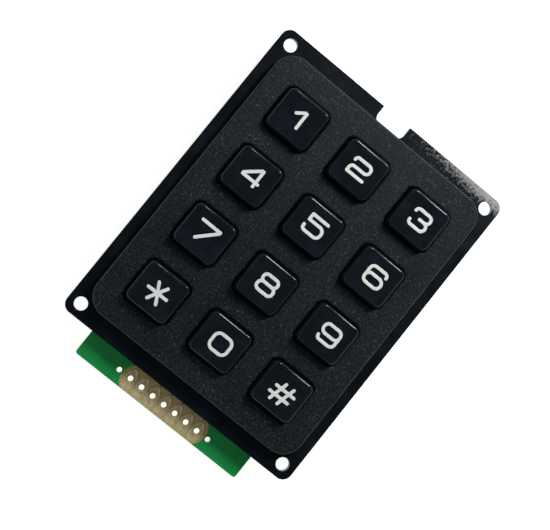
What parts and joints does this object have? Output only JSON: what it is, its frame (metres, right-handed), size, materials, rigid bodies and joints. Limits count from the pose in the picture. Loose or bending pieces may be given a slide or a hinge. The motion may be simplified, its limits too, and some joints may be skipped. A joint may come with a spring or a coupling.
{
  "type": "matrix keypad module",
  "caption": "Black matrix keypad module for an access panel, with white double-shot legends, a flanged front and a green circuit board with a solder header.",
  "frame": {"origin": "centre of the four fixing holes, on the front face of the flange", "axes": "+X right, +Y towards the row 1 2 3, +Z out of the panel towards the user"},
  "size_m": [0.051, 0.069, 0.0101],
  "materials": {
    "housing_abs": "fine moulded texture",
    "keycap_abs": "glossy",
    "legend_abs": "satin",
    "silicone": "matt translucent grey",
    "carbon": "matt carbon",
    "laminate": "bare glass-epoxy laminate",
    "solder_mask": "green lacquer",
    "tinned_copper": "dull tinned",
    "copper": "bare copper"
  },
  "bodies": {
    "module": {"front_housing": "housing_abs", "silicone_sheet": "silicone", "circuit_board": "laminate", "solder_mask_front": "solder_mask", "solder_mask_back": "solder_mask", "header_pads": "tinned_copper", "switch_contacts": "carbon", "plated_vias": "copper", "column_tracks": "copper", "row_tracks": "copper", "dome_1": "silicone", "dome_2": "silicone", "dome_3": "silicone", "dome_4": "silicone", "dome_5": "silicone", "dome_6": "silicone", "dome_7": "silicone", "dome_8": "silicone", "dome_9": "silicone", "dome_star": "silicone", "dome_0": "silicone", "dome_hash": "silicone"},
    "key_1": {"keycap_1": "keycap_abs", "legend_1": "legend_abs", "contact_pill_1": "carbon"},
    "key_2": {"keycap_2": "keycap_abs", "legend_2": "legend_abs", "contact_pill_2": "carbon"},
    "key_3": {"keycap_3": "keycap_abs", "legend_3": "legend_abs", "contact_pill_3": "carbon"},
    "key_4": {"keycap_4": "keycap_abs", "legend_4": "legend_abs", "contact_pill_4": "carbon"},
    "key_5": {"keycap_5": "keycap_abs", "legend_5": "legend_abs", "contact_pill_5": "carbon"},
    "key_6": {"keycap_6": "keycap_abs", "legend_6": "legend_abs", "contact_pill_6": "carbon"},
    "key_7": {"keycap_7": "keycap_abs", "legend_7": "legend_abs", "contact_pill_7": "carbon"},
    "key_8": {"keycap_8": "keycap_abs", "legend_8": "legend_abs", "contact_pill_8": "carbon"},
    "key_9": {"keycap_9": "keycap_abs", "legend_9": "legend_abs", "contact_pill_9": "carbon"},
    "key_star": {"keycap_star": "keycap_abs", "legend_star": "legend_abs", "contact_pill_star": "carbon"},
    "key_0": {"keycap_0": "keycap_abs", "legend_0": "legend_abs", "contact_pill_0": "carbon"},
    "key_hash": {"keycap_hash": "keycap_abs", "legend_hash": "legend_abs", "contact_pill_hash": "carbon"}
  },
  "joints": [
    {"name": "press_1", "type": "slide", "parent": "module", "child": "key_1", "axis": [0, 0, -1], "range_m": [0, 0.0012], "stiffness_N_per_m": 900, "springref_m": -0.0004, "deforming": ["dome_1"]},
    {"name": "press_2", "type": "slide", "parent": "module", "child": "key_2", "axis": [0, 0, -1], "range_m": [0, 0.0012], "stiffness_N_per_m": 900, "springref_m": -0.0004, "deforming": ["dome_2"]},
    {"name": "press_3", "type": "slide", "parent": "module", "child": "key_3", "axis": [0, 0, -1], "range_m": [0, 0.0012], "stiffness_N_per_m": 900, "springref_m": -0.0004, "deforming": ["dome_3"]},
    {"name": "press_4", "type": "slide", "parent": "module", "child": "key_4", "axis": [0, 0, -1], "range_m": [0, 0.0012], "stiffness_N_per_m": 900, "springref_m": -0.0004, "deforming": ["dome_4"]},
    {"name": "press_5", "type": "slide", "parent": "module", "child": "key_5", "axis": [0, 0, -1], "range_m": [0, 0.0012], "stiffness_N_per_m": 900, "springref_m": -0.0004, "deforming": ["dome_5"]},
    {"name": "press_6", "type": "slide", "parent": "module", "child": "key_6", "axis": [0, 0, -1], "range_m": [0, 0.0012], "stiffness_N_per_m": 900, "springref_m": -0.0004, "deforming": ["dome_6"]},
    {"name": "press_7", "type": "slide", "parent": "module", "child": "key_7", "axis": [0, 0, -1], "range_m": [0, 0.0012], "stiffness_N_per_m": 900, "springref_m": -0.0004, "deforming": ["dome_7"]},
    {"name": "press_8", "type": "slide", "parent": "module", "child": "key_8", "axis": [0, 0, -1], "range_m": [0, 0.0012], "stiffness_N_per_m": 900, "springref_m": -0.0004, "deforming": ["dome_8"]},
    {"name": "press_9", "type": "slide", "parent": "module", "child": "key_9", "axis": [0, 0, -1], "range_m": [0, 0.0012], "stiffness_N_per_m": 900, "springref_m": -0.0004, "deforming": ["dome_9"]},
    {"name": "press_star", "type": "slide", "parent": "module", "child": "key_star", "axis": [0, 0, -1], "range_m": [0, 0.0012], "stiffness_N_per_m": 900, "springref_m": -0.0004, "deforming": ["dome_star"]},
    {"name": "press_0", "type": "slide", "parent": "module", "child": "key_0", "axis": [0, 0, -1], "range_m": [0, 0.0012], "stiffness_N_per_m": 900, "springref_m": -0.0004, "deforming": ["dome_0"]},
    {"name": "press_hash", "type": "slide", "parent": "module", "child": "key_hash", "axis": [0, 0, -1], "range_m": [0, 0.0012], "stiffness_N_per_m": 900, "springref_m": -0.0004, "deforming": ["dome_hash"]}
  ]
}
